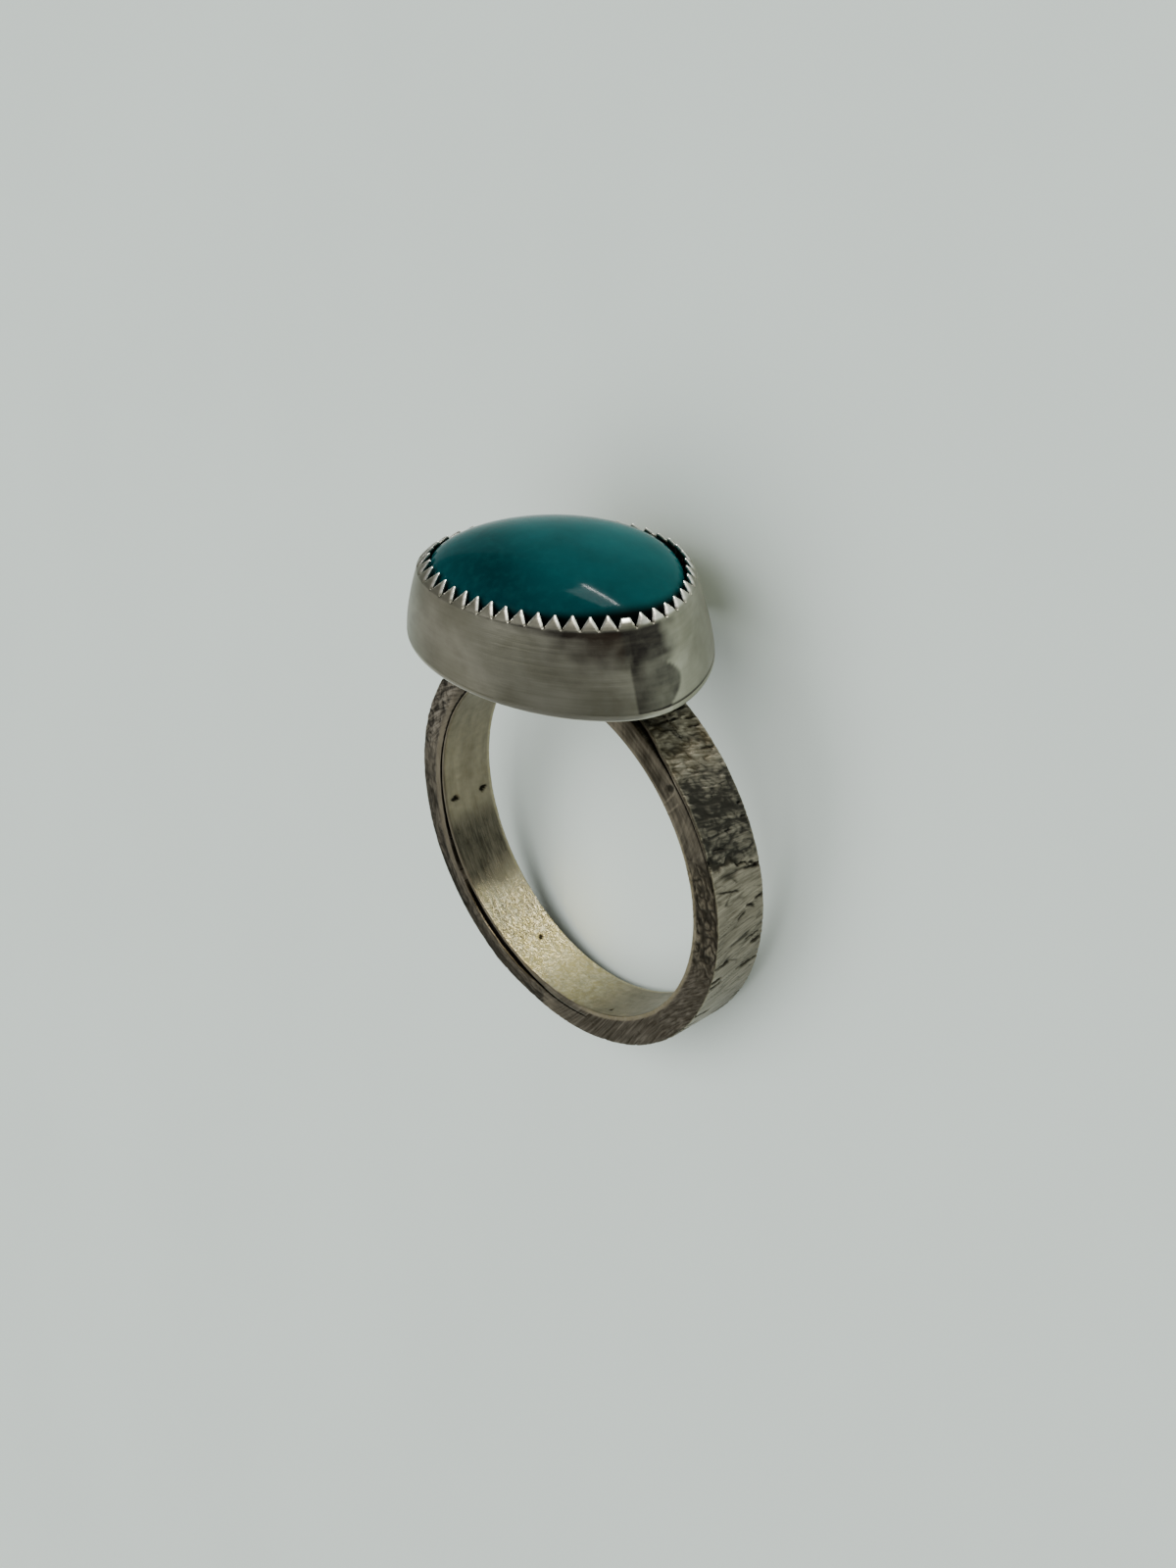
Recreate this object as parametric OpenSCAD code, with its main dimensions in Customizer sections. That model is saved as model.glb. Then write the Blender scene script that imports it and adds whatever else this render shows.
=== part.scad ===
// A silver ring with a turquoise cabochon in a saw-tooth bezel, resting on its side.
// It is drawn upright, with the finger hole along Y and the stone up, and is laid down last.
// Millimetres and degrees. The origin is the middle of the finger hole.

/* [Finger hole] */
// Diameter of the finger hole, a US ring size 8
finger_d = 18.1; // [15:0.1:20]

/* [Shank] */
// Width of the shank, along the finger
shank_w = 3.15; // [2.5:0.05:5]
// Thickness of the shank, its two lapped layers together
shank_t = 1.7; // [1.4:0.05:2.2]
// Break of the shank's outer edges
shank_edge = 0.15; // [0.05:0.05:0.3]
// How deep the seam between the layers is cut into each side face
seam_depth = 0.45; // [0.2:0.05:0.8]

/* [Setting] */
// Mean breadth of the setting's foot
foot_breadth = 15.1; // [13:0.1:17]
// Height of the wall, from the foot to the notches between the teeth
wall_h = 3.7; // [3:0.05:5]
// How far the wall leans in over that height, on average
wall_lean = 1.32; // [0.6:0.02:1.6]
// Thickness of the silver strip that the wall is bent from
wall_t = 0.4; // [0.3:0.05:0.5]
// Thickness of the back plate under the stone
plate_t = 0.4; // [0.3:0.05:0.6]
// How far the foot is filed into the top of the shank for its solder joint
joint_sink = 0.12; // [0.05:0.01:0.2]

/* [Teeth] */
// Number of teeth round the rim
tooth_count = 46; // [36:1:56]
// How far a tooth rises above the notches
tooth_rise = 0.47; // [0.3:0.01:0.6]
// How far a tooth bends in over the stone
tooth_reach = 0.41; // [0.3:0.01:0.6]

/* [Stone] */
// Height of the dome above the stone's shoulder
dome_h = 2.4; // [1.6:0.05:2.8]
// Clear space between the stone and the silver
stone_gap = 0.05; // [0.03:0.01:0.1]

/* [Resting pose] */
// Lean of the ring, lying on the setting's foot and the shank's lower edge
rest_lean = 13.3; // [10:0.1:17]
// Roll of the ring about the line through those two places
rest_roll = 2.1; // [-5:0.1:5]

/* [Hidden] */

finger_r = finger_d / 2;
shank_r = finger_r + shank_t;
foot_z = shank_r - joint_sink;
rim_z = foot_z + wall_h;
cut = 1;

// Outline of the foot and of the rim: how far each swells from its mean breadth.
// Columns: number of swells round the outline, size, direction of the first.
FOOT_SWELLS = [[2, 0.83, -5], [3, 0.24, -23], [4, 0.04, -10]];
RIM_SWELLS = [[2, 0.55, 21], [3, 0.24, -23], [4, 0.04, -10]];
// Middle of the foot and of the rim, which sit a little off the shank's.
FOOT_MIDDLE = [-0.92, -0.30];
RIM_MIDDLE = [-0.80, -0.53];
// Shift of the dome's top from the middle of the rim.
DOME_SHIFT = [-0.3, -0.3];
// Direction that the wide tooth faces. It is the first tooth, and has a flat top.
WIDE_TOOTH_DIRECTION = 333;

// The strip laps over itself, and its layers part at a seam on each side of the stone.
// Columns: place round the shank in degrees from +X towards the stone, height of the
// seam's lower side above the finger hole, its width.
LEFT_SEAM = [[142, 0.15, 0.05], [175, 0.17, 0.07], [196, 0.16, 0.16], [208, 0.15, 0.36],
    [226, 0.14, 0.52], [246, 0.16, 0.48], [256, 0.32, 0.24], [266, 0.44, 0.10], [279, 0.46, 0.04]];
RIGHT_SEAM = [[17, 1.42, 0.05], [30, 1.33, 0.08], [45, 1.24, 0.12], [62, 1.18, 0.22]];
SEAM_STEP = 4;
// Place where the outer layer ends, and the depth and width of the nick there.
LAP_END = [18, 0.12, 0.16];

// Heights of the rings of points up the wall, as shares of the wall's height.
WALL_LEVELS = [0.25, 0.5, 0.75, 0.92, 1];
// Power by which the lean grows with height, so the wall is steepest at its foot.
LEAN_POWER = 1.3;
// Break of the foot's lower edge, and of the rim between the teeth.
FOOT_EDGE = 0.12;
RIM_EDGE = 0.05;
// Thickness of a tooth at its tip.
TIP_T = 0.13;
// Places of a tooth's two tip corners as shares of the pitch, and its height.
TOOTH = [0.38, 0.62, 1];
FLAT_TOOTH = [0.22, 0.80, 0.8];
// Points round the stone, and its rings from the wall to the top.
STONE_POINTS = 96;
DOME_RINGS = 9;
LAST_TURN = 86;
// The stone's shoulder under the teeth: its depth below the rim, how far it steps in
// from the wall there and how much it rises on the way.
SHOULDER = [0.4, 0.2, 0.12];
// Power that rounds the dome: 1 is an ellipse, and more makes its flank flatter.
DOME_POWER = 1.25;

function total(v) = [for (x = v) 1] * v;
function mixed(a, b, share) = a * (1 - share) + b * share;

// The outline is drawn by the direction a that its edge faces: how far out that edge is,
// how fast that changes, how round the edge is there, and how long it is up to there.
function swell(rows, a) = total([for (r = rows) r[1] * cos(r[0] * (a - r[2]))]);
function swell_slope(rows, a) = total([for (r = rows) -r[0] * r[1] * sin(r[0] * (a - r[2]))]);
function roundness(rows, mean, a) =
    mean + total([for (r = rows) (1 - r[0] * r[0]) * r[1] * cos(r[0] * (a - r[2]))]);
function run_length(rows, mean, a) = mean * a * PI / 180
    + total([for (r = rows) (1 - r[0] * r[0]) * r[1] / r[0] * sin(r[0] * (a - r[2]))]);

// The direction faced at a length along the outline, found in a few steps.
function facing(rows, mean, run, a, steps = 8) = steps == 0 ? a
    : facing(rows, mean, run,
        a + (run - run_length(rows, mean, a)) / roundness(rows, mean, a) * 180 / PI, steps - 1);

// A point of the wall that faces a, at a share of its height, moved in and to height z.
function wall_point(a, share, inset, z) =
    let (
        mean = foot_breadth / 2 - wall_lean * pow(max(share, 0), LEAN_POWER) - inset,
        out = mean + mixed(swell(FOOT_SWELLS, a), swell(RIM_SWELLS, a), share),
        side = mixed(swell_slope(FOOT_SWELLS, a), swell_slope(RIM_SWELLS, a), share),
        middle = mixed(FOOT_MIDDLE, RIM_MIDDLE, share)
    )
    [middle[0] + out * cos(a) - side * sin(a), middle[1] + out * sin(a) + side * cos(a), z];
function wall_ring(facings, share, inset, z) = [for (a = facings) wall_point(a, share, inset, z)];
function wall_z(share) = foot_z + wall_h * share;

// Directions at equal steps along the rim, from the wide tooth's middle.
rim_mean = foot_breadth / 2 - wall_lean;
rim_length = 2 * PI * rim_mean;
rim_start = run_length(RIM_SWELLS, rim_mean, WIDE_TOOTH_DIRECTION);
function rim_facing(share) = facing(RIM_SWELLS, rim_mean, rim_start + rim_length * share,
    WIDE_TOOTH_DIRECTION + 360 * share);

// Each tooth has three points: its notch and its two tip corners.
function tooth_shape(i) = i == 0 ? FLAT_TOOTH : TOOTH;
tooth_facings = [for (i = [0:tooth_count - 1]) for (place = [0, tooth_shape(i)[0], tooth_shape(i)[1]])
    rim_facing((i + place - 0.5) / tooth_count)];
tooth_lifts = [for (i = [0:tooth_count - 1]) for (lift = [0, tooth_shape(i)[2], tooth_shape(i)[2]]) lift];
tooth_points = [for (i = [0:len(tooth_facings) - 1]) i];
function tooth_ring(inset, drop) = [for (i = tooth_points)
    wall_point(tooth_facings[i], 1, inset + tooth_reach * tooth_lifts[i],
        rim_z + tooth_rise * tooth_lifts[i] - drop)];

// A closed solid through rings of points that run anticlockwise, from its lower end on.
module skinned(rings) {
    n = len(rings[0]);
    last = len(rings) - 1;
    sides = [for (k = [0:last - 1]) for (i = [0:n - 1])
        let (a = k * n + i, b = k * n + (i + 1) % n) each [[a, a + n, b + n], [a, b + n, b]]];
    ends = [[for (i = [0:n - 1]) i], [for (i = [n - 1:-1:0]) last * n + i]];
    polyhedron([for (r = rings) each r], concat(sides, ends), convexity = 6);
}

// Back plate, wall and teeth: one cup, open at the top.
module bezel() {
    outside = concat(
        [wall_ring(tooth_facings, 0, FOOT_EDGE, foot_z)],
        [wall_ring(tooth_facings, 0, 0, foot_z + FOOT_EDGE)],
        [for (u = WALL_LEVELS) wall_ring(tooth_facings, u, 0, wall_z(u) - (u == 1 ? RIM_EDGE : 0))],
        [tooth_ring(0.02, 0)]);
    inside = concat(
        [tooth_ring(TIP_T, TIP_T)],
        [wall_ring(tooth_facings, 0.92, wall_t, wall_z(0.92))],
        [for (u = [0.5, plate_t / wall_h]) wall_ring(tooth_facings, u, wall_t, wall_z(u))]);
    skinned(concat(outside, inside));
}

// The row of a seam's table at a place between its rows.
function seam_at(rows, a) = [for (i = [0:len(rows) - 2]) let (p = rows[i], q = rows[i + 1])
    if (a >= p[0] && a < q[0]) mixed(p, q, (a - p[0]) / (q[0] - p[0]))][0];
function seam_places(rows) = [for (a = [rows[0][0]:SEAM_STEP:rows[len(rows) - 1][0] - SEAM_STEP]) a];
function polar(r, a) = [r * cos(a), r * sin(a)];

// The open seam between two layers, as a curved sliver in the ring's side view.
module seam(rows) {
    places = [for (a = seam_places(rows)) seam_at(rows, a)];
    end = rows[len(rows) - 1];
    steps = concat(places, [end]);
    lower = [for (s = steps) polar(finger_r + s[1], s[0])];
    upper = [for (i = [len(steps) - 1:-1:0]) polar(finger_r + steps[i][1] + steps[i][2], steps[i][0])];
    for (side = [0, 1])
        mirror([0, side, 0])
            translate([0, -shank_w / 2 + seam_depth, 0])
                rotate([90, 0, 0])
                    linear_extrude(seam_depth + cut)
                        polygon(concat(lower, upper));
}

// The nick across the shank where the outer layer ends.
module lap_end() {
    rotate([0, -LAP_END[0], 0])
        translate([shank_r - LAP_END[1], -shank_w / 2 - cut, -LAP_END[2] / 2])
            cube([cut, shank_w + 2 * cut, LAP_END[2]]);
}

module shank() {
    half = shank_w / 2;
    difference() {
        rotate([90, 0, 0])
            rotate_extrude($fn = 180)
                polygon([[finger_r, -half], [shank_r - shank_edge, -half],
                    [shank_r, -half + shank_edge], [shank_r, half - shank_edge],
                    [shank_r - shank_edge, half], [finger_r, half]]);
        seam(LEFT_SEAM);
        seam(RIGHT_SEAM);
        lap_end();
    }
}

// Lays the upright ring on its side, with its near side up and the stone towards +Y.
module laid_down() {
    rotate([rest_lean - 90, 0, 0])
        rotate([0, 0, rest_roll])
            children();
}

module silver_mount() {
    color("#9C988C")
        laid_down()
            union() {
                shank();
                bezel();
            }
}

// The stone fills the cup, follows the leaning wall and closes in a low dome.
module turquoise_cabochon() {
    facings = [for (i = [0:STONE_POINTS - 1]) rim_facing(i / STONE_POINTS)];
    clear = wall_t + stone_gap;
    bed_z = foot_z + plate_t + stone_gap;
    top = 1 - SHOULDER[0] / wall_h;
    sides = [for (u = [(bed_z - foot_z) / wall_h, 0.5, top]) wall_ring(facings, u, clear, wall_z(u))];
    shoulder = wall_ring(facings, top, clear + SHOULDER[1], wall_z(top) + SHOULDER[2]);
    middle = total(shoulder) / STONE_POINTS;
    dome = [for (k = [1:DOME_RINGS]) let (turn = LAST_TURN * k / DOME_RINGS, up = sin(turn))
        [for (p = shoulder) middle + (p - middle) * pow(cos(turn), DOME_POWER)
            + [DOME_SHIFT[0] * up * up, DOME_SHIFT[1] * up * up, dome_h * up]]];
    color("#1F6467")
        laid_down()
            skinned(concat(sides, [shoulder], dome));
}

silver_mount();
turquoise_cabochon();
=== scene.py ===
import math
import random

import bmesh
import bpy
from mathutils import Matrix, Vector, noise


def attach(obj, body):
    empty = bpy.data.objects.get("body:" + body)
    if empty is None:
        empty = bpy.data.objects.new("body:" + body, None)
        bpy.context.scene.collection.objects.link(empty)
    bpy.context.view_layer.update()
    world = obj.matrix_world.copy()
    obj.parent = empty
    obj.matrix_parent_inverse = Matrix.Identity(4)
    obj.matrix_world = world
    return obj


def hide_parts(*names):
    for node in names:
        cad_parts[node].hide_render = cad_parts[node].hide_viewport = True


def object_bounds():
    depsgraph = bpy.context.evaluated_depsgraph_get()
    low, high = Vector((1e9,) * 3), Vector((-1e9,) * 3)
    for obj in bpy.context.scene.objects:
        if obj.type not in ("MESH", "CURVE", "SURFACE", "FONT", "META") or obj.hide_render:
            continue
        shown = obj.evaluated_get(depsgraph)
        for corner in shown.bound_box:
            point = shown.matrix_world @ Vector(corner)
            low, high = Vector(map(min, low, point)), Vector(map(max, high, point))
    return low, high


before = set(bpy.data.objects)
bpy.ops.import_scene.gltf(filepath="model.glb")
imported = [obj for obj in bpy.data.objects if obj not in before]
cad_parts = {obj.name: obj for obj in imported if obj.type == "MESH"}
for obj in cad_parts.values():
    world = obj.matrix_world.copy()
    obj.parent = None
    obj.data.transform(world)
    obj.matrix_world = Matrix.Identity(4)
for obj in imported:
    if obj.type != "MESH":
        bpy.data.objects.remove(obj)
cad_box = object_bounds()

MM = 0.001
# How the ring leans and rolls where it lies on its side, in degrees
REST_LEAN = 13.3
REST_ROLL = 2.1
LAY_DOWN = (Matrix.Rotation(math.radians(REST_LEAN - 90), 4, "X")
            @ Matrix.Rotation(math.radians(REST_ROLL), 4, "Z"))

# Camera, fitted to both edges of the finger hole: its turn round the upright ring, its rise and
# its roll in degrees, its distance in mm, and its focal length in pixels
CAMERA_TURN = 48.007
CAMERA_RISE = 32.413
CAMERA_ROLL = 1.2
CAMERA_DISTANCE = 116.51
FOCAL_LENGTH = 2404
# Where the middle of the hole shows, to the right of the picture's middle and below it, and the
# picture's height, in pixels. The sensor's height is in mm.
HOLE_SHOWS = (-2.63, 53.70)
PICTURE_HEIGHT = 1600
SENSOR_HEIGHT = 24

# Shank: the finger hole's radius, the strip's thickness and width, its radius halfway through
# and outside while it's plain, and about where its outer face lies once it's hammered
FINGER_R = 9.05
SHANK_T = 1.7
SHANK_W = 3.15
MIDDLE_R = FINGER_R + SHANK_T / 2
PLAIN_R = FINGER_R + SHANK_T
OUTER_R = 10.7

# Setting: the foot's place, the wall's height to the notches, the thickness of its sheet, how
# high the back plate's edge stands, the foot's mean radius, how far the wall leans in, the rim's
# mean radius and length, and how the lean grows with height. Then the outlines of foot and rim:
# a row has the number of its swells, their size, and the direction of the first.
FOOT_Z = 10.63
WALL_H = 3.7
RIM_Z = FOOT_Z + WALL_H
WALL_T = 0.4
PLATE_T = 0.3
FOOT_MEAN = 7.55
WALL_LEAN = 1.32
RIM_MEAN = FOOT_MEAN - WALL_LEAN
RIM_AROUND = 2 * math.pi * RIM_MEAN
LEAN_POWER = 1.3
FOOT_SWELLS = ((2, 0.83, -5), (3, 0.24, -23), (4, 0.04, -10))
RIM_SWELLS = ((2, 0.55, 21), (3, 0.24, -23), (4, 0.04, -10))
FOOT_MIDDLE = Vector((-0.92, -0.30, 0))
RIM_MIDDLE = Vector((-0.80, -0.53, 0))
# How far the wall's face is set in, so that its unevenness stays inside the outline
SET_IN = 0.013
# Where the pattern on the wall starts, off the noise's own grid lines
PATTERN_START = (17.3, 5.7)

# Teeth: their number, rise and bend over the stone, the thickness of their tips, the direction
# of the wide one, and the direction and the extra length of the longest
TEETH = 46
TOOTH_RISE = 0.52
TOOTH_REACH = 0.46
TIP_T = 0.13
WIDE_TOOTH = 333
LONG_TEETH = 250
LONGER = 0.07

# Points in a ring of the back plate and of the stone
RING_POINTS = 240

# Stone: its gap to the silver, its bed's height over the foot, and its dome. The shoulder's
# depth below the rim comes first, then how far it steps in there and how much it rises.
STONE_GAP = 0.05
BED_H = 0.4
DOME_H = 2.34
DOME_SHIFT = Vector((-0.3, -0.3, 0))
SHOULDER = (0.4, 0.2, 0.12)
DOME_RINGS = 60


def colour(code):
    """A colour written as sRGB hex, turned to linear light."""
    parts = [int(code[i:i + 2], 16) / 255 for i in (1, 3, 5)]
    return tuple(c / 12.92 if c <= 0.04045 else ((c + 0.055) / 1.055) ** 2.4 for c in parts) + (1,)


def between(table, x):
    """The values of a table at x, straight between its rows. Each row starts with its own x."""
    if x <= table[0][0]:
        return table[0][1:]
    for low, high in zip(table, table[1:]):
        if x <= high[0]:
            share = (x - low[0]) / (high[0] - low[0])
            return [a + (b - a) * share for a, b in zip(low[1:], high[1:])]
    return table[-1][1:]


def eased(low, high, x):
    """Rises smoothly from 0 at low to 1 at high."""
    share = min(1, max(0, (x - low) / (high - low)))
    return share * share * (3 - 2 * share)


def band(start, full, fading, end, x):
    """Rises smoothly to 1 from start to full, and falls again from fading to end."""
    return eased(start, full, x) * (1 - eased(fading, end, x))


def cosine(a):
    return math.cos(math.radians(a))


def sine(a):
    return math.sin(math.radians(a))


def arc(a, radius):
    """Length of an arc of a degrees."""
    return math.radians(a) * radius


def photo_camera():
    """Stands where the photograph was taken from, with its lens and its turn."""
    flat = cosine(CAMERA_RISE)
    place = CAMERA_DISTANCE * Vector((sine(CAMERA_TURN) * flat, -cosine(CAMERA_TURN) * flat,
                                      sine(CAMERA_RISE)))
    ahead = -place.normalized()
    right = ahead.cross(Vector((0, 0, 1))).normalized()
    down = ahead.cross(right)
    right, down = (cosine(CAMERA_ROLL) * right + sine(CAMERA_ROLL) * down,
                   cosine(CAMERA_ROLL) * down - sine(CAMERA_ROLL) * right)
    # turned so that the hole's middle shows where it does in the photograph
    aim = Vector((*HOLE_SHOWS, FOCAL_LENGTH)).normalized()
    rows = Vector((0, 0, 1)).rotation_difference(aim).to_matrix() @ Matrix((right, down, ahead))
    axes = Matrix((rows[0], -rows[1], -rows[2])).transposed().to_4x4()
    data = bpy.data.cameras.new("photo_camera")
    data.sensor_fit = "VERTICAL"
    data.sensor_height = SENSOR_HEIGHT
    data.lens = SENSOR_HEIGHT * FOCAL_LENGTH / PICTURE_HEIGHT
    data.clip_start = 0.005
    data.clip_end = 20
    camera = bpy.data.objects.new("photo_camera", data)
    camera.matrix_world = Matrix.Translation(LAY_DOWN @ place * MM) @ LAY_DOWN @ axes
    bpy.context.scene.collection.objects.link(camera)
    bpy.context.scene.camera = camera


def lamp_towards(aim, data, direction, distance, watts, tint):
    """A lamp that faces a point from a direction, in metres and watts."""
    data.energy = watts
    data.color = colour(tint)[:3]
    lamp = bpy.data.objects.new(data.name, data)
    lamp.location = Vector(aim) + Vector(direction).normalized() * distance
    lamp.rotation_euler = Vector(direction).to_track_quat("Z", "Y").to_euler()
    bpy.context.scene.collection.objects.link(lamp)
    return lamp


def soft_light(name, direction, distance, width, height, watts, tint, shows):
    """A soft box that faces the ring. It lights the matt surfaces only, as a fill does, or
    shows in the metal and the stone only."""
    data = bpy.data.lights.new(name, "AREA")
    data.shape = "RECTANGLE"
    data.size, data.size_y = width, height
    lamp = lamp_towards((0, 0, 0), data, direction, distance, watts, tint)
    lamp.visible_diffuse = shows != "in gloss"
    lamp.visible_glossy = shows != "as fill"


def snooted_light(name, direction, distance, aim, spread, watts, tint):
    """A small round lamp behind a snoot, which shows in the metal near the point that it's
    aimed at, and doesn't light the matt surfaces."""
    data = bpy.data.lights.new(name, "SPOT")
    data.shadow_soft_size = 0.002
    data.spot_size = spread
    data.spot_blend = 1
    lamp = lamp_towards(aim, data, direction, distance, watts, tint)
    lamp.visible_diffuse = False


# How a Mix node mixes colours, and the output that gives them
RGBA = {"out": 2, "data_type": "RGBA"}


def feed(tree, sockets, inputs):
    """Sets a node's inputs. Each is a value, a colour in hex, or a socket to link."""
    for name, value in inputs.items():
        if isinstance(value, bpy.types.NodeSocket):
            tree.links.new(value, sockets[name])
        else:
            sockets[name].default_value = colour(value) if isinstance(value, str) else value


def add(tree, kind, inputs, out=0, **settings):
    """Adds a shader node with its settings and inputs, and gives one of its outputs."""
    made = tree.nodes.new("ShaderNode" + kind)
    for name, value in settings.items():
        setattr(made, name, value)
    feed(tree, made.inputs, inputs)
    return made.outputs[out]


def new_material(name):
    """An empty material: its node tree, and its surface shader's inputs."""
    material = bpy.data.materials.new(name)
    material.use_nodes = True
    return material, material.node_tree, material.node_tree.nodes["Principled BSDF"].inputs


def wear_of(tree):
    """The wear painted on a piece: how tarnished it is, with painted shade in it, its brown stain,
    its polish, and its brightness, with painted highlights in it.
    """
    state = add(tree, "VertexColor", {}, layer_name="wear").node.outputs
    parts = add(tree, "SeparateColor", {0: state[0]}).node.outputs
    return parts[0], parts[1], parts[2], state[1]


# Materials


def satin_silver():
    """Sterling silver sheet, rubbed along the wall with fine abrasive: a soft warm sheen with fine
    lines along it, and a blotchy grey-brown patina where nothing rubs it. The wear also brings
    painted shade and painted highlights onto it."""
    material, tree, surface = new_material("satin_sterling_silver")
    place = add(tree, "UVMap", {}, uv_map="sheet")
    tarnish_and_shade, brown, polish, bright = wear_of(tree)
    # rubbing lines a few mm long and about 0.1 mm apart, coarser than real so that they show
    along = add(tree, "Mapping", {0: place, 3: (0.25, 7.0, 1)})
    lines = add(tree, "TexNoise", {"Vector": along, "Scale": 1, "Detail": 5})
    # short scratches across them
    aslant = add(tree, "Mapping", {0: place, 2: (0, 0, 0.5), 3: (0.5, 4.0, 1)})
    marks = add(tree, "TexNoise", {"Vector": aslant, "Scale": 1, "Detail": 4})
    # blotches 1 to 3 mm wide, drawn out a little along the wall
    drawn = add(tree, "Mapping", {0: place, 3: (0.35, 0.6, 1)})
    cloud = add(tree, "TexNoise", {"Vector": drawn, "Scale": 1, "Detail": 4, "Distortion": 0.4})
    haze = add(tree, "TexNoise", {"Vector": place, "Scale": 1, "Detail": 7})
    tone = add(tree, "Math", {0: cloud, 1: 0.8}, operation="MULTIPLY")
    tone = add(tree, "Math", {0: lines, 1: 0.22, 2: tone}, operation="MULTIPLY_ADD")
    tone = add(tree, "MapRange", {0: tone, 1: 0.34, 2: 0.70})
    clean = add(tree, "Mix", {0: tone, 6: "#959380", 7: "#C0BDAC"}, **RGBA)
    smoky = add(tree, "MapRange", {0: haze, 1: 0.50, 2: 0.75, 4: 0.22})
    clean = add(tree, "Mix", {0: smoky, 6: clean, 7: "#787262"}, **RGBA)
    # painted highlight: where the wear is bright, on bevels and edges, the metal is painted nearly
    # white
    clean = add(tree, "Mix", {0: bright, 6: clean, 7: "#F4F2E9"}, **RGBA)
    dull = add(tree, "Mix", {0: brown, 6: "#212326", 7: "#41362D"}, **RGBA)
    rubbed = add(tree, "MapRange", {0: marks, 1: 0.35, 2: 0.7, 4: 0.3})
    dull = add(tree, "Mix", {0: rubbed, 6: dull, 7: "#6B675B"}, **RGBA)
    # the tarnish is thickest where the blotches are
    thick = add(tree, "MapRange", {0: haze, 1: 0.25, 2: 0.7, 3: 0.8, 4: 1.2})
    cover = add(tree, "Math", {0: tarnish_and_shade, 1: thick}, operation="MULTIPLY", use_clamp=True)
    # this also lays the painted shade on the wall and the teeth
    skin = add(tree, "Mix", {0: cover, 6: clean, 7: dull}, **RGBA)
    rough = add(tree, "MapRange", {0: lines, 3: 0.33, 4: 0.51})
    rough = add(tree, "Math", {0: tarnish_and_shade, 1: 0.12, 2: rough}, operation="MULTIPLY_ADD")
    rough = add(tree, "Math", {0: polish, 1: -0.2, 2: rough}, operation="MULTIPLY_ADD")
    grain = add(tree, "Math", {0: marks, 1: 0.7, 2: lines}, operation="MULTIPLY_ADD")
    bump = add(tree, "Bump", {"Strength": 0.4, "Distance": 0.03 * MM, "Height": grain})
    feed(tree, surface, {"Base Color": skin, "Roughness": rough, "Normal": bump, "Metallic": 1})
    return material


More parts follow.
